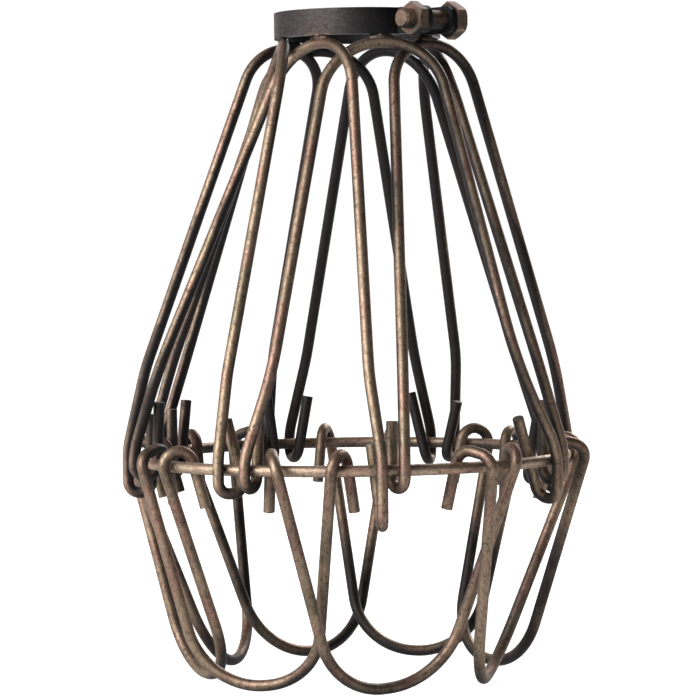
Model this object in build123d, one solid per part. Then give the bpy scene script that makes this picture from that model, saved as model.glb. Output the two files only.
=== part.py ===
from build123d import *
import math
import os

os.makedirs("parts", exist_ok=True)

# A wire cage lampshade: a split clamp collar, eight arched upper wires hooked on a waist ring,
# and eight U-shaped petals that hang from the ring by loose hooks and close the cage below.
# The origin is the middle of the collar's bore, +Z is up and -Y is the front. An angle is
# counted in degrees about an upright axis from the front, positive towards +X.

# Driving dimensions, millimetres
wire = 3.0                 # diameter of every bent wire
ring_wire = 3.0            # diameter of the waist ring's wire
ring_radius = 57.5         # middle line of the waist ring
ring_drop = 116.0          # collar's middle down to the waist ring
ring_aside = -2.6          # the hand-made cage leans, so the ring lies beside the collar's axis
collar_bore = 40.4         # inside diameter
collar_wall = 2.2
collar_height = 7.0
hook_slip = 0.15           # play between an upper hook and the ring
hook_round = 0.96          # bend radius of a hook's corners, to half its width
petal_slip = 0.6           # least play between a petal's hook and the ring
weld_rise = 0.6            # weld bead that stands between an arch and the collar
weld_width = 2.6

# The upper wires' form
crown_round = 1.45         # bend radius of an arch's upper corners, to half its crown's width
run_use = 0.98             # most of a straight run that the bends at its ends may take
cross_gap = 8.4            # how far a right leg passes outside the next arch's left leg
bow_rise = 24.5            # the legs bend inwards again this far above the ring
bow_radius = 55.6          # how far out they are there
knee_rise = 3.0            # the legs turn inwards this far above the ring
knee_bend = 20.0
bow_bend = 60.0

# The petals' form
petal_depth = 56.8         # ring down to the middle line at a petal's foot
petal_bend = 19.0          # bend radius of a petal's two lower corners
foot_radius = 40.0         # a petal's foot from the ring's axis
petal_half_foot = 15.0     # half the distance between its lower corners
petal_cross = 4.2          # at the foot a left leg stands this far out, a right leg this far in
petal_step = 2.0           # a left leg stands this much further out at its hook
tail_length = 12.0         # petal hook's tail below the ring

# The clamp
gap_angle = 42.0           # where the collar is split
gap_width = 7.0
lug_length = 11.0          # from the collar's outer face
lug_wall = 1.8
lug_round = 2.4            # a lug's rounded outer corners
bolt_diameter = 5.0
bolt_slip = 0.2            # between the bolt and its holes in the lugs
thread_slip = 0.05         # between the bolt and the nut
bolt_offset = 7.2          # lug hole outwards from the collar's outer face
head_flats = 8.8
head_thickness = 3.2
nut_flats = 8.0
nut_thickness = 2.8
corner_cut = 0.5           # turned off the corners of the head and the nut
bolt_stick_out = 3.4       # bolt end beyond the nut
bolt_chamfer = 0.4

# Each upper wire's two legs, left then right, bent by hand and so all a little different:
# angle at the crown, at the bow, at the ring, where the hook turns and at the tail's end, then
# the hook's depth below the ring and its tail's height above the ring
upper_legs = [
    ((-111.5, -116, -112.5, -113.5, -113, 5.5, 12), (-37, -35, -34.5, -30.5, -36.5, 6, 12.6)),
    ((-63, -67, -72.5, -72.5, -70, 3.5, 16), (-4, 4.5, 7, 7.5, 5, 14, 6.5)),
    ((-20.5, -21.5, -27, -27, -26, 4.6, 14.3), (42.5, 51, 62, 64, 52.5, 10, 11.5)),
    ((28, 13.5, 12.5, 10.2, 10.7, 4.5, 12.3), (84, 96.5, 102.5, 102.5, 99, 10.5, 8)),
    ((68, 62.5, 66, 67.5, 68.5, 5.5, 15.5), (147.5, 147.5, 151, 151, 146.5, 4, 12)),
    ((120.5, 123.5, 119, 117, 108.5, 9, 11.5), (181, 193.5, 197.5, 197, 193.5, 4, 13.6)),
    ((172.5, 161, 158, 157, 162, 5, 14.3), (232, 237, 241.5, 242.5, 238.5, 6.5, 14.1)),
    ((208, 204, 203.5, 204, 206.5, 3.5, 13.5), (259, 272.5, 273.5, 273.5, 272, 9, 12)),
]

# Each petal: its left and right hooks on the ring and the middle of its foot, in degrees
petal_angles = [
    (-63, -3.5, -38.5), (-20.5, 45, 12.5), (31.5, 94, 60), (75, 142.5, 114),
    (129.5, 187.5, 154.5), (168, 231.5, 199), (210.5, 264.5, 238.5), (252.5, 308, 279.5),
]

# Sizes that follow from those above
collar_inner = collar_bore / 2
collar_outer = collar_inner + collar_wall
seat_radius = collar_inner + collar_wall / 2
crown_height = -collar_height / 2 - weld_rise - wire / 2
ring_height = -ring_drop
hook_reach = (wire + ring_wire) / 2 + hook_slip
ring_centre = Vector(ring_aside, 0, ring_height)


def spot(radius, angle, height, aside=0.0):
    """A point on a circle about an upright axis that stands aside of the origin."""
    turn = math.radians(angle)
    return Vector(aside + radius * math.sin(turn), -radius * math.cos(turn), height)


def upper_leg(leg, half_span, outside):
    """Corners of one leg from its crown down to the tail of its hook."""
    top, bow, foot, turn, tail, drop, rise = leg
    crown_radius = seat_radius / math.cos(math.radians(half_span)) + outside * cross_gap / 2
    return [
        spot(crown_radius, top, crown_height),
        spot(bow_radius, bow, ring_height + bow_rise, ring_aside),
        spot(ring_radius + hook_reach, foot, ring_height + knee_rise, ring_aside),
        spot(ring_radius + hook_reach, foot, ring_height - drop, ring_aside),
        spot(ring_radius - hook_reach, turn, ring_height - drop, ring_aside),
        spot(ring_radius - hook_reach, tail, ring_height + rise, ring_aside),
    ]


def upper_route(left, right):
    """Corners and bend radii of a whole arch, from tail to tail."""
    half_span = (right[0] - left[0]) / 2
    first = upper_leg(left, half_span, -1)[::-1]
    second = upper_leg(right, half_span, 1)
    crown_bend = crown_round * (second[0] - first[-1]).length / 2
    hook_bend = hook_round * hook_reach
    side = [hook_bend, hook_bend, knee_bend, bow_bend, crown_bend]
    return first + second, side + side[::-1]


def petal_frame(left_hook, right_hook):
    """Middle of the line through a petal's hooks, its direction, and half its length."""
    left = spot(ring_radius, left_hook, ring_height, ring_aside)
    right = spot(ring_radius, right_hook, ring_height, ring_aside)
    return (left + right) / 2, (right - left).normalized(), (right - left).length / 2


def petal_route(left_hook, right_hook, foot_angle):
    """Corners and bend radii of a petal, from the left tail to the right tail."""
    middle, along, half = petal_frame(left_hook, right_hook)
    half_span = math.radians(right_hook - left_hook) / 2
    reach = ((wire + ring_wire) / 2 + petal_slip) / math.cos(half_span)
    lean = math.atan2(ring_radius * math.cos(half_span) + reach - foot_radius, petal_depth)
    outwards = Vector(along.Y, -along.X, 0)
    down = Vector(0, 0, -math.cos(lean)) - outwards * math.sin(lean)
    face = outwards * math.cos(lean) - Vector(0, 0, math.sin(lean))
    foot = petal_depth / math.cos(lean)
    off_middle = foot_radius * math.sin(math.radians(foot_angle) - math.radians(left_hook + right_hook) / 2)
    left_foot, right_foot = off_middle - petal_half_foot, off_middle + petal_half_foot
    left_slope, right_slope = (left_foot + half) / foot, (right_foot - half) / foot

    def at(across, out, below):
        return middle + along * across + face * out + down * below

    corners = [
        at(-half, -reach, tail_length),
        at(-half, -reach, -reach),
        at(-half - left_slope * reach, reach + petal_step, -reach),
        at(left_foot, reach + petal_cross, foot),
        at(right_foot, reach - petal_cross, foot),
        at(half - right_slope * reach, reach, -reach),
        at(half, -reach, -reach),
        at(half, -reach, tail_length),
    ]
    hook_bend = hook_round * reach
    return corners, [hook_bend, hook_bend, petal_bend, petal_bend, hook_bend, hook_bend]


def fitted_bends(corners, bends):
    """The bend radii, made smaller where two neighbours would not fit on the run between them."""
    runs = [after - before for before, after in zip(corners, corners[1:])]
    turns = [math.radians(run.get_angle(next_run)) for run, next_run in zip(runs, runs[1:])]
    reaches = [bend * math.tan(turn / 2) for bend, turn in zip(bends, turns)]
    shares = [1.0] * len(bends)
    for i in range(len(bends) - 1):
        share = run_use * runs[i + 1].length / (reaches[i] + reaches[i + 1])
        shares[i] = min(shares[i], share)
        shares[i + 1] = min(shares[i + 1], share)
    return [bend * share for bend, share in zip(bends, shares)]


def bent_wire(corners, bends):
    """A round wire along straight runs that tangent bends join."""
    path = FilletPolyline(*corners, radius=fitted_bends(corners, bends))
    start = Plane(origin=path @ 0, z_dir=path % 0)
    return sweep(start * Circle(wire / 2), path=path)


def build_upper_wire(left, right):
    """An arch with the weld bead on its crown that meets the collar's underside."""
    corners, bends = upper_route(left, right)
    crown = (corners[len(corners) // 2 - 1] + corners[len(corners) // 2]) / 2
    bead_height = -collar_height / 2 - crown_height
    bead = Pos(crown.X, crown.Y, crown_height + bead_height / 2) * Cylinder(weld_width / 2, bead_height)
    return bent_wire(corners, bends) + bead


def build_ring():
    return Pos(ring_centre) * Torus(ring_radius, ring_wire / 2)


def build_collar():
    """The rolled strip with its gap, and two lugs turned outwards for the bolt."""
    band = Cylinder(collar_outer, collar_height) - Cylinder(collar_inner, 2 * collar_height)
    band -= Pos(collar_outer, 0, 0) * Box(collar_outer, gap_width, 2 * collar_height)
    length = collar_outer + lug_length - seat_radius
    for side in (-1, 1):
        lug = Box(length, lug_wall, collar_height)
        outer_corners = lug.edges().filter_by(Axis.Y).group_by(Axis.X)[-1]
        lug = fillet(outer_corners, lug_round)
        band += Pos(seat_radius + length / 2, side * (gap_width + lug_wall) / 2, 0) * lug
    hole = Cylinder(bolt_diameter / 2 + bolt_slip, 2 * (gap_width + lug_wall))
    band -= Pos(collar_outer + bolt_offset, 0, 0) * Rot(90, 0, 0) * hole
    return Rot(0, 0, gap_angle - 90) * band


def bolt_place():
    """The bolt's axis: across the gap, tangent to the collar, head away from the front."""
    return Rot(0, 0, gap_angle - 90) * Pos(collar_outer + bolt_offset, 0, 0) * Rot(-90, 0, 0)


def hexagon(flats, thickness):
    """A hexagon prism from zero up, with a corner towards the collar's rim and outer corners cut."""
    prism = extrude(RegularPolygon(flats / 2, 6, major_radius=False, rotation=30), thickness)
    corner_radius = flats / 2 / math.cos(math.radians(30))
    turned = Pos(0, 0, thickness / 2) * Cylinder(corner_radius, thickness)
    turned = chamfer(turned.edges().filter_by(GeomType.CIRCLE).sort_by(Axis.Z)[-1], corner_cut)
    return prism & turned


def build_bolt():
    face = gap_width / 2 + lug_wall
    end = face + nut_thickness + bolt_stick_out
    shank = Pos(0, 0, (face - end) / 2) * Cylinder(bolt_diameter / 2, face + end)
    tip = shank.edges().filter_by(GeomType.CIRCLE).sort_by(Axis.Z)[0]
    return bolt_place() * (chamfer(tip, bolt_chamfer) + Pos(0, 0, face) * hexagon(head_flats, head_thickness))


def build_nut():
    face = gap_width / 2 + lug_wall
    nut = hexagon(nut_flats, nut_thickness) - Cylinder(bolt_diameter / 2 + thread_slip, 3 * nut_thickness)
    return bolt_place() * Pos(0, 0, -face) * Rot(180, 0, 0) * nut


nodes = {
    "clamp_collar": build_collar(),
    "clamp_bolt": build_bolt(),
    "clamp_nut": build_nut(),
    "waist_ring": build_ring(),
}
for number, (left, right) in enumerate(upper_legs, start=1):
    nodes[f"upper_wire_{number}"] = build_upper_wire(left, right)
for number, angles in enumerate(petal_angles, start=1):
    nodes[f"petal_{number}"] = bent_wire(*petal_route(*angles))

for name, shape in nodes.items():
    shape.label = name
    export_step(shape, f"parts/{name}.step")
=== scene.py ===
import math

import bpy
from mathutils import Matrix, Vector


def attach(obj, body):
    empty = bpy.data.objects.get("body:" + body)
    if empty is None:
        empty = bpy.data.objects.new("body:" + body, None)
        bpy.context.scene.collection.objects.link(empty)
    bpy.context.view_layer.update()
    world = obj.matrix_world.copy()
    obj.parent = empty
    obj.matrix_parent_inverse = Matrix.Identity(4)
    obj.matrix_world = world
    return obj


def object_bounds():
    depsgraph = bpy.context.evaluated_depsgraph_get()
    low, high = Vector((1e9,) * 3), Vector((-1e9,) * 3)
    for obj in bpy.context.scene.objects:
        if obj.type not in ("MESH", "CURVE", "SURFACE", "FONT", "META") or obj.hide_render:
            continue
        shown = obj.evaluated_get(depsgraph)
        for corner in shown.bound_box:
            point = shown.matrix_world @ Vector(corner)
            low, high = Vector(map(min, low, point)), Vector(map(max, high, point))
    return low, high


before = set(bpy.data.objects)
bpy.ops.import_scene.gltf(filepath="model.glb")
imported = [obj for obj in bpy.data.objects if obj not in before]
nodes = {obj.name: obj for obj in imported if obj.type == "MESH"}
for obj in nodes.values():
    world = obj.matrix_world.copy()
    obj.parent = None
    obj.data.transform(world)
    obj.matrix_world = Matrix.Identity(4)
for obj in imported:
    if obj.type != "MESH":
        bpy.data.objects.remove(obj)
cad_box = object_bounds()
UPPER_WIRES = [name for name in sorted(nodes) if name.startswith("upper_wire_")]
PETALS = [name for name in sorted(nodes) if name.startswith("petal_")]

# Sizes that the scene shares with the solids, in metres
WIRE = 0.003
RING_AXIS_X = -0.0026
COLLAR_HALF_HEIGHT = 0.0035
WELD_WIDTH = 0.0026
BOLT_DIAMETER = 0.005
BOLT_CHAMFER = 0.0004
BOLT_RADIAL = 0.0296
LUG_ANGLE = math.radians(42.0)
LUG_OUT = (math.sin(LUG_ANGLE), -math.cos(LUG_ANGLE), 0.0)
BOLT_ALONG = (math.cos(LUG_ANGLE), math.sin(LUG_ANGLE), 0.0)
BOLT_MIDDLE = (BOLT_RADIAL * LUG_OUT[0], BOLT_RADIAL * LUG_OUT[1], 0.0)

# Sizes of what the scene adds, in metres
CUT_ENDS = {"Radius": 0.00146, "Thickness": 0.00016, "Burr": 0.00016}
BEADS = {"Length": 0.0072, "Width": 0.0028, "Lumps": 0.0009}
BEAD_DROP = 0.0010
THREAD_PITCH = 0.0008
THREAD_DEPTH = 0.00016


# Node helpers

def add(tree, kind, values=None, **settings):
    """A node with its settings, then its inputs: each takes a value or another node's output."""
    node = tree.nodes.new(kind)
    for key, value in settings.items():
        setattr(node, key, value)
    for key, value in (values or {}).items():
        if isinstance(value, bpy.types.NodeSocket):
            tree.links.new(value, node.inputs[key])
        else:
            node.inputs[key].default_value = value
    return node


def math_node(tree, operation, first, second=0.0):
    return add(tree, "ShaderNodeMath", {0: first, 1: second}, operation=operation).outputs[0]


def vector_math(tree, operation, first, second=(0.0, 0.0, 0.0)):
    node = add(tree, "ShaderNodeVectorMath", {0: first, 1: second}, operation=operation)
    return node.outputs["Value" if operation in ("DOT_PRODUCT", "LENGTH") else "Vector"]


def part_of(tree, vector, axis):
    return add(tree, "ShaderNodeSeparateXYZ", {0: vector}).outputs[axis]


def object_place(tree):
    return add(tree, "ShaderNodeTexCoord").outputs["Object"]


def ramp(tree, value, low, high, to_low=0.0, to_high=1.0):
    """A smooth step from one value to another."""
    node = add(tree, "ShaderNodeMapRange",
               {"Value": value, "From Min": low, "From Max": high,
                "To Min": to_low, "To Max": to_high},
               interpolation_type="SMOOTHSTEP")
    return node.outputs["Result"]


def mix_colour(tree, factor, first, second, blend="MIX"):
    node = tree.nodes.new("ShaderNodeMix")
    node.data_type = "RGBA"
    node.blend_type = blend
    for socket, value in ((node.inputs["Factor"], factor), (node.inputs[6], first),
                          (node.inputs[7], second)):
        if isinstance(value, bpy.types.NodeSocket):
            tree.links.new(value, socket)
        else:
            socket.default_value = value
    return node.outputs[2]


def noise(tree, place, scale, detail=3.0, roughness=0.55):
    node = add(tree, "ShaderNodeTexNoise", {"Vector": place, "Scale": scale, "Detail": detail,
                                            "Roughness": roughness})
    return node.outputs["Fac"]


def swing(tree, place, scale, size, detail=3.0, roughness=0.55):
    """Noise about zero, between minus and plus half this size."""
    middle = math_node(tree, "SUBTRACT", noise(tree, place, scale, detail, roughness), 0.5)
    return math_node(tree, "MULTIPLY", middle, size)


def new_group(name, inputs, outputs):
    """An empty shader group with these named sockets."""
    group = bpy.data.node_groups.new(name, "ShaderNodeTree")
    for label, kind, value in inputs:
        socket = group.interface.new_socket(label, in_out="INPUT", socket_type=kind)
        socket.default_value = value
    for label, kind in outputs:
        group.interface.new_socket(label, in_out="OUTPUT", socket_type=kind)
    return group, group.nodes.new("NodeGroupInput"), group.nodes.new("NodeGroupOutput")


# Shared shader groups

# How a piece is rubbed, and how much painted light its top faces take, where its material says
# nothing else
RUB_AND_TOP_LIGHT = {"Axis X": RING_AXIS_X, "Outwards": 1.0, "Painted Top Light": 0.25, "Spread": 0.45, "Bias": -0.3}

# The colours of each skin, under the names of the group's sockets
SKIN_LABELS = ("Dark", "Rubbed And Top Lit", "Copper", "Olive")
WIRE_SKIN = ((0.024, 0.0178, 0.0175), (0.405, 0.3, 0.215), (0.38, 0.24, 0.185),
             (0.27, 0.215, 0.15))
RING_SKIN = ((0.04, 0.03, 0.028), (0.6, 0.46, 0.35), (0.58, 0.39, 0.29), (0.42, 0.33, 0.23))
COLLAR_SKIN = ((0.018, 0.016, 0.0175), (0.125, 0.106, 0.1), (0.14, 0.095, 0.082),
               (0.11, 0.1, 0.085))
BOLT_SKIN = ((0.022, 0.017, 0.018), (0.34, 0.24, 0.175), (0.32, 0.185, 0.128),
             (0.24, 0.2, 0.15))
CUT_SKIN = ((0.07, 0.06, 0.058), (0.25, 0.205, 0.18), (0.24, 0.17, 0.145), (0.18, 0.165, 0.14))
WELD_SKIN = ((0.02, 0.017, 0.017), (0.1, 0.078, 0.068), (0.11, 0.075, 0.06),
             (0.085, 0.072, 0.06))
# Near-black for painted shade, laid on the collar toward its lugs and on the wires toward the top
# right
PAINTED_SHADE_BLACK = (0.009, 0.009, 0.011, 1.0)

# How dense the streaks are along each axis, so that they run along the least dense one
UPRIGHT = (1.0, 1.0, 0.3)
ROUND_RING = (0.5, 0.5, 1.0)
ROUND_COLLAR = (0.3, 0.3, 1.0)
EVEN = (1.0, 1.0, 1.0)


def skin_inputs(skin):
    return {label: (*colour, 1.0) for label, colour in zip(SKIN_LABELS, skin)}


def make_rub_and_top_light_group():
    """How much a surface takes the rubbed colour: rubbed wear, most on faces turned away from the
    cage's axis, and painted light on faces turned upwards.
    """
    group, given, result = new_group(
        "RubbedOutsideAndLitTop", [(label, "NodeSocketFloat", value) for label, value in RUB_AND_TOP_LIGHT.items()],
        [("Mask", "NodeSocketFloat")])
    place = add(group, "ShaderNodeTexCoord")
    axis = add(group, "ShaderNodeCombineXYZ", {"X": given.outputs["Axis X"]})
    offset = vector_math(group, "SUBTRACT", place.outputs["Object"], axis.outputs[0])
    flat = vector_math(group, "MULTIPLY", offset, (1.0, 1.0, 0.0))
    outwards = vector_math(group, "NORMALIZE", flat)
    facing = vector_math(group, "DOT_PRODUCT", place.outputs["Normal"], outwards)
    facing = math_node(group, "MULTIPLY", facing, given.outputs["Outwards"])
    # Painted light: faces turned upwards take more of the rubbed colour, as lit tops do
    height = part_of(group, place.outputs["Normal"], "Z")
    painted_top_light = math_node(group, "MULTIPLY", height, given.outputs["Painted Top Light"])
    facing = math_node(group, "ADD", facing, painted_top_light)
    small = swing(group, place.outputs["Object"], 85.0, 1.1)
    large = swing(group, place.outputs["Object"], 21.0, 2.4, detail=1.0)
    facing = math_node(group, "ADD", facing, math_node(group, "ADD", small, large))
    facing = math_node(group, "ADD", facing, given.outputs["Bias"])
    low = math_node(group, "MULTIPLY", given.outputs["Spread"], -1.0)
    group.links.new(ramp(group, facing, low, given.outputs["Spread"]), result.inputs["Mask"])
    return group


def make_patina_group():
    """Antique bronze over iron: dark skin, tan where the mask gives rubbed wear and painted top
    light, copper, olive and soot in patches.
    """
    group, given, result = new_group(
        "AntiqueBronze",
        [(label, "NodeSocketColor", colour) for label, colour in skin_inputs(WIRE_SKIN).items()]
        + [("Mask", "NodeSocketFloat", 0.5), ("Stretch", "NodeSocketVector", UPRIGHT)],
        [("Color", "NodeSocketColor"), ("Roughness", "NodeSocketFloat"),
         ("Metallic", "NodeSocketFloat"), ("Height", "NodeSocketFloat")])
    mask = given.outputs["Mask"]
    place = object_place(group)
    along = vector_math(group, "MULTIPLY", place, given.outputs["Stretch"])
    patches = noise(group, place, 110.0, 2.0)
    cast = noise(group, vector_math(group, "ADD", place, (0.31, 0.17, 0.05)), 62.0, 2.0)
    streaks = noise(group, along, 1500.0, 4.0, 0.65)
    grain = noise(group, place, 2600.0, 3.0, 0.7)
    pits = noise(group, vector_math(group, "ADD", place, (0.07, 0.23, 0.11)), 950.0, 2.0, 0.6)

    # The tan mix serves both rubbed wear and painted light on top faces
    worn_and_lit = mix_colour(group, ramp(group, patches, 0.44, 0.62),
                      given.outputs["Rubbed And Top Lit"], given.outputs["Copper"])
    worn_and_lit = mix_colour(group, ramp(group, cast, 0.53, 0.72), worn_and_lit, given.outputs["Olive"])
    base = mix_colour(group, mask, given.outputs["Dark"], worn_and_lit)
    soot = ramp(group, streaks, 0.3, 0.62, 0.72, 1.08)
    soot = math_node(group, "MULTIPLY", soot, ramp(group, grain, 0.3, 0.6, 0.68, 1.1))
    soot = math_node(group, "MULTIPLY", soot, ramp(group, pits, 0.56, 0.68, 1.0, 0.55))
    shade = add(group, "ShaderNodeCombineColor", {0: soot, 1: soot, 2: soot}).outputs[0]

    rough = math_node(group, "SUBTRACT", ramp(group, streaks, 0.2, 0.8, 0.61, 0.49),
                      math_node(group, "MULTIPLY", mask, 0.02))
    relief = math_node(group, "ADD", math_node(group, "MULTIPLY", streaks, 0.7),
                       math_node(group, "MULTIPLY", grain, 0.5))
    for label, output in (("Color", mix_colour(group, 1.0, base, shade, "MULTIPLY")),
                          ("Roughness", rough),
                          ("Metallic", ramp(group, mask, 0.0, 1.0, 0.45, 0.94)),
                          ("Height", relief)):
        group.links.new(output, result.inputs[label])
    return group


rub_and_top_light_group = make_rub_and_top_light_group()
patina_group = make_patina_group()


# The metal of each piece

def worn_rims(tree, mask, half, width):
    """The mask weakened, but rubbed through in places along the rims, half a height up and down."""
    place = object_place(tree)
    height = part_of(tree, place, "Z")
    rim = ramp(tree, math_node(tree, "ABSOLUTE", height), half - width, half)
    rim = math_node(tree, "MULTIPLY", rim, ramp(tree, noise(tree, place, 240.0), 0.42, 0.62))
    return math_node(tree, "MAXIMUM", math_node(tree, "MULTIPLY", mask, 0.35), rim)


def worn_corners(tree, mask, point, axis, start, end):
    """The mask weakened, but rubbed through where the metal lies this far from an axis."""
    place = object_place(tree)
    offset = vector_math(tree, "SUBTRACT", place, point)
    far = vector_math(tree, "LENGTH", vector_math(tree, "CROSS_PRODUCT", offset, axis))
    ragged = math_node(tree, "MULTIPLY", noise(tree, place, 500.0), 0.0005)
    rim = ramp(tree, math_node(tree, "ADD", far, ragged), start, end)
    return math_node(tree, "MAXIMUM", math_node(tree, "MULTIPLY", mask, 0.7), rim)


def darken_with_painted_shade(tree, colour, direction, start, end, most):
    """Painted shade: the colour blackened further out along a direction, by this share at most."""
    place = object_place(tree)
    reach = vector_math(tree, "DOT_PRODUCT", place, direction)
    cloud = swing(tree, place, 130.0, 0.008)
    share = ramp(tree, math_node(tree, "ADD", reach, cloud), start, end, 0.0, most)
    return mix_colour(tree, share, colour, PAINTED_SHADE_BLACK)


def bronze(name, skin, rub_and_top_light, stretch, bump=0.3, rims=None, corners=None, painted_shade=None):
    """A material of the shared groups: the fourth argument holds what differs from the shared mask
    settings (rubbed wear, and painted light on top faces), and the last three hold what the three
    functions above take after the mask or the colour; the last of these lays painted shade."""
    material = bpy.data.materials.new(name)
    material.use_nodes = True
    tree = material.node_tree
    shader = tree.nodes["Principled BSDF"]
    mask = add(tree, "ShaderNodeGroup", {**RUB_AND_TOP_LIGHT, **rub_and_top_light}, node_tree=rub_and_top_light_group).outputs["Mask"]
    if rims:
        mask = worn_rims(tree, mask, *rims)
    if corners:
        mask = worn_corners(tree, mask, *corners)
    patina = add(tree, "ShaderNodeGroup", {**skin_inputs(skin), "Stretch": stretch, "Mask": mask},
                 node_tree=patina_group)
    relief = add(tree, "ShaderNodeBump", {"Height": patina.outputs["Height"], "Distance": 0.00006,
                                          "Strength": bump})
    colour = patina.outputs["Color"]
    if painted_shade:
        colour = darken_with_painted_shade(tree, colour, *painted_shade)
    for label, output in (("Base Color", colour), ("Roughness", patina.outputs["Roughness"]),
                          ("Metallic", patina.outputs["Metallic"]),
                          ("Normal", relief.outputs["Normal"])):
        tree.links.new(output, shader.inputs[label])
    return material


# Painted shade: the wires darken toward the top and the right, under the collar
wire_bronze = bronze("wire_bronze", WIRE_SKIN, {"Bias": -0.36}, UPRIGHT,
                     painted_shade=((0.5, 0.0, 0.86), -0.018, 0.004, 0.65))
petal_bronze = bronze("petal_bronze", WIRE_SKIN,
                      {"Bias": 0.06, "Spread": 0.55, "Outwards": 0.45, "Painted Top Light": 0.6}, UPRIGHT)
ring_bronze = bronze("ring_bronze", RING_SKIN, {"Bias": 0.45, "Spread": 0.7, "Painted Top Light": 0.7},
                     ROUND_RING)
# Painted shade: the collar blackens toward its lugs, on the side turned from the key light
collar_bronze = bronze("collar_bronze", COLLAR_SKIN, {"Axis X": 0.0}, ROUND_COLLAR,
                       rims=(COLLAR_HALF_HEIGHT, 0.0009), painted_shade=(LUG_OUT, 0.009, 0.023, 1.0))
bolt_bronze = bronze("bolt_bronze", BOLT_SKIN, {"Axis X": 0.0, "Outwards": 0.4, "Painted Top Light": 1.3},
                     EVEN, bump=0.5, corners=(BOLT_MIDDLE, BOLT_ALONG, 0.0044, 0.0052))
cut_iron = bronze("cut_iron", CUT_SKIN, {"Bias": 0.1}, EVEN, bump=0.5)
weld_iron = bronze("weld_iron", WELD_SKIN, {"Axis X": 0.0}, EVEN, bump=0.9)


def paint(names, material):
    for name in names:
        mesh = nodes[name].data
        mesh.materials.clear()
        mesh.materials.append(material)


paint(UPPER_WIRES, wire_bronze)
paint(PETALS, petal_bronze)
paint(["waist_ring"], ring_bronze)
paint(["clamp_collar"], collar_bronze)
paint(["clamp_bolt", "clamp_nut"], bolt_bronze)


# The stage: a pale floor, soft lights, and a white ground that the camera and the metal see

WHITE = 1.05                # the strength at which the ground shows as plain white
WHITE_UNDER = 0.82          # and under the cage, so that its shadow shows
FLOOR_GAP = 0.0006
FLOOR_HALF = 6.0
MIDDLE = (RING_AXIS_X, 0.0, -0.085)
EYE = (RING_AXIS_X, -0.860, -0.057)
EYE_DOWN = 2.02             # degrees
EYE_ROLL = 0.7              # degrees
LENS = 163.65               # millimetres, on a sensor 36 wide


def seen_rays(tree):
    """1 for the rays that show the ground, the camera's own and those that metal or glass sends
    on, and beside it 1 for the camera's own only."""
    path = add(tree, "ShaderNodeLightPath")
    by_camera = path.outputs["Is Camera Ray"]
    sent_on = math_node(tree, "MAXIMUM", path.outputs["Is Glossy Ray"],
                        path.outputs["Is Transmission Ray"])
    return math_node(tree, "MAXIMUM", by_camera, sent_on), by_camera


def make_floor_material():
    """Diffuse for every ray, with light of its own for those that show it. That light is weaker
    under the cage, and for the rays that metal sends on also in front of the cage."""
    material = bpy.data.materials.new("floor_white")
    material.use_nodes = True
    tree = material.node_tree
    tree.nodes.clear()
    seen, by_camera = seen_rays(tree)
    place = object_place(tree)
    away = vector_math(tree, "LENGTH", vector_math(tree, "MULTIPLY", place, (1.0, 1.0, 0.0)))
    back = ramp(tree, part_of(tree, place, "Y"), -0.1, 0.6, 0.2, 1.0)
    glow = math_node(tree, "MULTIPLY", ramp(tree, away, 0.1, 0.5, WHITE_UNDER, WHITE),
                     math_node(tree, "MAXIMUM", by_camera, back))
    plain = add(tree, "ShaderNodeBsdfDiffuse", {"Color": (0.42, 0.41, 0.40, 1.0)})
    pale = add(tree, "ShaderNodeBsdfDiffuse", {"Color": (0.8, 0.8, 0.8, 1.0)})
    light = add(tree, "ShaderNodeEmission", {"Color": (1, 1, 1, 1), "Strength": glow})
    both = add(tree, "ShaderNodeAddShader", {0: pale.outputs[0], 1: light.outputs[0]})
    choice = add(tree, "ShaderNodeMixShader", {0: seen, 1: plain.outputs[0], 2: both.outputs[0]})
    add(tree, "ShaderNodeOutputMaterial", {"Surface": choice.outputs[0]})
    return material


def make_stage():
    low = cad_box[0][2] - FLOOR_GAP
    mesh = bpy.data.meshes.new("floor")
    mesh.from_pydata([(x * FLOOR_HALF, y * FLOOR_HALF, low)
                      for x, y in ((-1, -1), (1, -1), (1, 1), (-1, 1))], [], [(0, 1, 2, 3)])
    mesh.materials.append(make_floor_material())
    floor = bpy.data.objects.new("floor", mesh)
    bpy.context.scene.collection.objects.link(floor)


def make_world():
    """White for the rays that show the ground, though for those that metal sends on only behind
    the cage, and a dim room that lights the cage from behind."""
    world = bpy.data.worlds.new("studio")
    bpy.context.scene.world = world
    world.use_nodes = True
    tree = world.node_tree
    tree.nodes.clear()
    shown, by_camera = seen_rays(tree)
    behind = part_of(tree, add(tree, "ShaderNodeTexCoord").outputs["Generated"], "Y")
    backdrop = math_node(tree, "MAXIMUM", by_camera, ramp(tree, behind, 0.3, 1.0, 0.04, 1.0))
    seen = add(tree, "ShaderNodeBackground",
               {"Color": (1, 1, 1, 1), "Strength": math_node(tree, "MULTIPLY", backdrop, WHITE)})
    felt = add(tree, "ShaderNodeBackground",
               {"Color": (0.94, 0.96, 1.0, 1),
                "Strength": ramp(tree, behind, 0.3, 0.95, 0.04, 0.5)})
    choice = add(tree, "ShaderNodeMixShader", {0: shown, 1: felt.outputs[0], 2: seen.outputs[0]})
    add(tree, "ShaderNodeOutputWorld", {"Surface": choice.outputs[0]})


def area_light(name, place, size, power, colour):
    """A round light that is turned to the middle of the cage."""
    light = bpy.data.lights.new(name, "AREA")
    light.shape = "DISK"
    light.size = size
    light.energy = power
    light.color = colour
    lamp = bpy.data.objects.new(name, light)
    lamp.location = place
    lamp.rotation_euler = (Vector(MIDDLE) - Vector(place)).to_track_quat("-Z", "Y").to_euler()
    bpy.context.scene.collection.objects.link(lamp)


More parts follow.
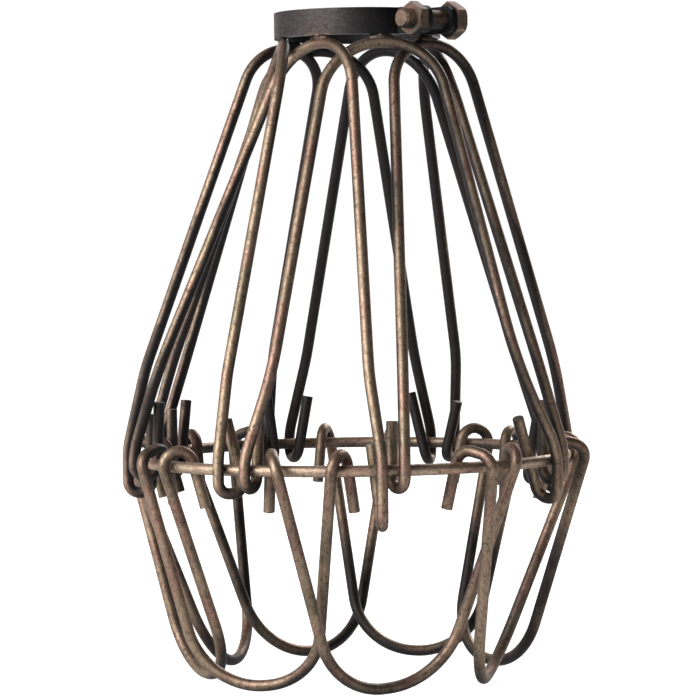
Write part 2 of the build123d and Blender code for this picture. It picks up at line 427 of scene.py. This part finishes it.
def make_camera():
    camera = bpy.data.cameras.new("camera")
    camera.sensor_width = 36.0
    camera.lens = LENS
    camera.clip_start = 0.01
    eye = bpy.data.objects.new("camera", camera)
    eye.location = EYE
    eye.rotation_mode = "XYZ"
    eye.rotation_euler = (math.radians(90.0 - EYE_DOWN), math.radians(EYE_ROLL), 0.0)
    bpy.context.scene.collection.objects.link(eye)
    bpy.context.scene.camera = eye


bpy.context.scene.view_settings.view_transform = "Standard"
make_stage()
make_world()
area_light("key", (-0.68, -0.64, 0.30), 0.8, 10.8, (0.99, 0.98, 0.96))
area_light("fill_left", (-0.95, -0.15, 0.05), 0.5, 1.5, (0.96, 0.98, 1.0))
area_light("rim_back", (0.45, 0.75, 0.45), 0.5, 4.5, (0.9, 0.95, 1.0))
make_camera()


# What the bench work left on the iron

SAME_WAY = 0.9999           # least cosine between the normals of one flat end's faces
LEAST_AREA = 0.93           # of the round end's, because its outline has straight sides
MOST_AREA = 1.02
SEAT_REACH = 0.008          # how far from its seat a crown shows which way it runs
CROWN_LOW = -0.0072         # and how low that part of it reaches


def flat_ends(mesh, radius):
    """(centre, outward normal) of each flat round end of this radius, found by its area."""
    corners = [tuple(round(c, 6) for c in vertex.co) for vertex in mesh.vertices]
    around = {}
    for face in mesh.polygons:
        for index in face.vertices:
            around.setdefault(corners[index], []).append(face)
    ends = []
    seen = set()
    full = math.pi * radius * radius
    for first in mesh.polygons:
        if first.index in seen:
            continue
        seen.add(first.index)
        waiting, area, weighted = [first], 0.0, Vector()
        while waiting:
            face = waiting.pop()
            area += face.area
            weighted += face.center * face.area
            for index in face.vertices:
                for other in around[corners[index]]:
                    if other.index not in seen and other.normal.dot(first.normal) > SAME_WAY:
                        seen.add(other.index)
                        waiting.append(other)
        if LEAST_AREA < area / full < MOST_AREA:
            ends.append((weighted / area, first.normal.copy()))
    return ends


def growth_tree(name, sizes):
    """A Geometry Nodes tree with these named sizes, a material and its two ends."""
    tree = bpy.data.node_groups.new(name, "GeometryNodeTree")
    tree.interface.new_socket("Geometry", in_out="INPUT", socket_type="NodeSocketGeometry")
    for label, value in sizes.items():
        socket = tree.interface.new_socket(label, in_out="INPUT", socket_type="NodeSocketFloat")
        socket.default_value = value
    tree.interface.new_socket("Material", in_out="INPUT", socket_type="NodeSocketMaterial")
    tree.interface.new_socket("Geometry", in_out="OUTPUT", socket_type="NodeSocketGeometry")
    return tree, tree.nodes.new("NodeGroupInput"), tree.nodes.new("NodeGroupOutput")


def on_points(tree, given, instance):
    """A real copy of the instance on every point, with its +Z along the point's facing."""
    facing = add(tree, "GeometryNodeInputNamedAttribute", {"Name": "facing"},
                 data_type="FLOAT_VECTOR").outputs[0]
    turn = add(tree, "FunctionNodeAlignRotationToVector", {"Vector": facing}, axis="Z").outputs[0]
    spread = add(tree, "GeometryNodeInstanceOnPoints",
                 {"Points": given.outputs["Geometry"], "Instance": instance, "Rotation": turn})
    return add(tree, "GeometryNodeRealizeInstances", {"Geometry": spread.outputs[0]}).outputs[0]


def finish_tree(tree, given, result, geometry):
    """Give the geometry the tree's material and hand it out."""
    painted = add(tree, "GeometryNodeSetMaterial",
                  {"Geometry": geometry, "Material": given.outputs["Material"]})
    tree.links.new(painted.outputs[0], result.inputs["Geometry"])


def sheared_ends_tree():
    """A burred disc for every point, square to its facing attribute."""
    tree, given, result = growth_tree("ShearedEnds", CUT_ENDS)
    disc = add(tree, "GeometryNodeMeshCylinder",
               {"Vertices": 24, "Side Segments": 1, "Fill Segments": 3,
                "Radius": given.outputs["Radius"], "Depth": given.outputs["Thickness"]})
    place = add(tree, "GeometryNodeInputPosition").outputs[0]
    push = swing(tree, place, 1900.0, given.outputs["Burr"], detail=2.0, roughness=0.5)
    offset = add(tree, "ShaderNodeCombineXYZ", {"Z": push}).outputs[0]
    burred = add(tree, "GeometryNodeSetPosition",
                 {"Geometry": disc.outputs["Mesh"], "Offset": offset}).outputs[0]
    finish_tree(tree, given, result, on_points(tree, given, burred))
    return tree


def weld_tree():
    """A lump of weld for every point, stretched along its facing attribute and uneven all over."""
    tree, given, result = growth_tree("WeldBeads", BEADS)
    ball = add(tree, "GeometryNodeMeshIcoSphere", {"Radius": 0.5, "Subdivisions": 4})
    size = add(tree, "ShaderNodeCombineXYZ", {0: given.outputs["Width"], 1: given.outputs["Width"],
                                              2: given.outputs["Length"]}).outputs[0]
    bead = add(tree, "GeometryNodeTransform",
               {"Geometry": ball.outputs["Mesh"], "Scale": size}).outputs[0]
    beads = on_points(tree, given, bead)
    place = add(tree, "GeometryNodeInputPosition").outputs[0]
    normal = add(tree, "GeometryNodeInputNormal").outputs[0]
    push = swing(tree, place, 420.0, given.outputs["Lumps"], detail=2.0, roughness=0.5)
    offset = add(tree, "ShaderNodeVectorMath", {0: normal, "Scale": push},
                 operation="SCALE").outputs[0]
    uneven = add(tree, "GeometryNodeSetPosition", {"Geometry": beads, "Offset": offset}).outputs[0]
    smooth = add(tree, "GeometryNodeSetShadeSmooth", {"Geometry": uneven}).outputs[0]
    finish_tree(tree, given, result, smooth)
    return tree


def thread_tree(sizes):
    """A screw thread that winds from every point along its facing attribute."""
    tree, given, result = growth_tree("ScrewThread", sizes)
    turns = math_node(tree, "DIVIDE", given.outputs["Reach"], given.outputs["Pitch"])
    coil = add(tree, "GeometryNodeCurveSpiral",
               {"Resolution": 40, "Rotations": turns, "Start Radius": given.outputs["Radius"],
                "End Radius": given.outputs["Radius"], "Height": given.outputs["Reach"]})
    ridge = add(tree, "GeometryNodeCurvePrimitiveCircle",
                {"Resolution": 6, "Radius": given.outputs["Depth"]})
    thread = add(tree, "GeometryNodeCurveToMesh",
                 {"Curve": coil.outputs[0], "Profile Curve": ridge.outputs[0],
                  "Fill Caps": True}).outputs[0]
    finish_tree(tree, given, result, on_points(tree, given, thread))
    return tree


def grown(name, spots, tree, inputs):
    """A plain mesh object that a Geometry Nodes tree makes from (place, facing) spots."""
    mesh = bpy.data.meshes.new(name + "_seed")
    mesh.from_pydata([place for place, _ in spots], [], [])
    facing = mesh.attributes.new("facing", "FLOAT_VECTOR", "POINT")
    for item, (_, vector) in zip(facing.data, spots):
        item.vector = vector
    seed = bpy.data.objects.new(name + "_seed", mesh)
    bpy.context.scene.collection.objects.link(seed)
    modifier = seed.modifiers.new("grow", "NODES")
    modifier.node_group = tree
    for item in tree.interface.items_tree:
        if item.in_out == "INPUT" and item.name in inputs:
            modifier[item.identifier] = inputs[item.name]
    seed.update_tag()
    bpy.context.view_layer.update()
    evaluated = seed.evaluated_get(bpy.context.evaluated_depsgraph_get())
    piece = bpy.data.objects.new(name, bpy.data.meshes.new_from_object(evaluated))
    bpy.context.scene.collection.objects.link(piece)
    bpy.data.objects.remove(seed)
    return piece


def add_cut_ends(name, members, tree, body):
    """The sheared faces at the tails of these wires."""
    spots = [end for member in members for end in flat_ends(nodes[member].data, WIRE / 2)]
    piece = grown(name, spots, tree, {**CUT_ENDS, "Material": cut_iron})
    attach(piece, body)


def crown_seats():
    """(place, direction along the crown) of each arch's weld under the collar."""
    seats = []
    for name in UPPER_WIRES:
        mesh = nodes[name].data
        centre = next(spot for spot, normal in flat_ends(mesh, WELD_WIDTH / 2) if normal.z > 0.9)
        near = [v.co - centre for v in mesh.vertices
                if (v.co - centre).length < SEAT_REACH and v.co.z > CROWN_LOW]
        spread_x = sum(p.x * p.x for p in near)
        spread_y = sum(p.y * p.y for p in near)
        spread_xy = sum(p.x * p.y for p in near)
        turn = 0.5 * math.atan2(2 * spread_xy, spread_x - spread_y)
        seats.append((centre, Vector((math.cos(turn), math.sin(turn), 0.0))))
    return seats


def add_welds():
    """The lumpy bead between each arch and the collar's underside."""
    drop = Vector((0.0, 0.0, -BEAD_DROP))
    spots = [(centre + drop, direction) for centre, direction in crown_seats()]
    piece = grown("crown_welds", spots, weld_tree(), {**BEADS, "Material": weld_iron})
    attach(piece, "cage")


def add_thread():
    """The thread on the bolt's free end, as far as the nut."""
    tip, outwards = max(flat_ends(nodes["clamp_bolt"].data, BOLT_DIAMETER / 2 - BOLT_CHAMFER),
                        key=lambda end: -end[0].y)
    nut = [v.co for v in nodes["clamp_nut"].data.vertices]
    nut_face = max((co - tip).dot(outwards) for co in nut)
    start = tip - outwards * (BOLT_CHAMFER + THREAD_PITCH / 4)
    sizes = {"Radius": BOLT_DIAMETER / 2, "Reach": -nut_face - BOLT_CHAMFER - THREAD_PITCH / 2,
             "Pitch": THREAD_PITCH, "Depth": THREAD_DEPTH}
    piece = grown("bolt_thread", [(start, -outwards)], thread_tree(sizes),
                  {**sizes, "Material": bolt_bronze})
    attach(piece, "cage")


ends_tree = sheared_ends_tree()
add_cut_ends("upper_cut_ends", UPPER_WIRES, ends_tree, "cage")
for petal in PETALS:
    add_cut_ends(petal + "_cut_ends", [petal], ends_tree, petal)
add_welds()
add_thread()
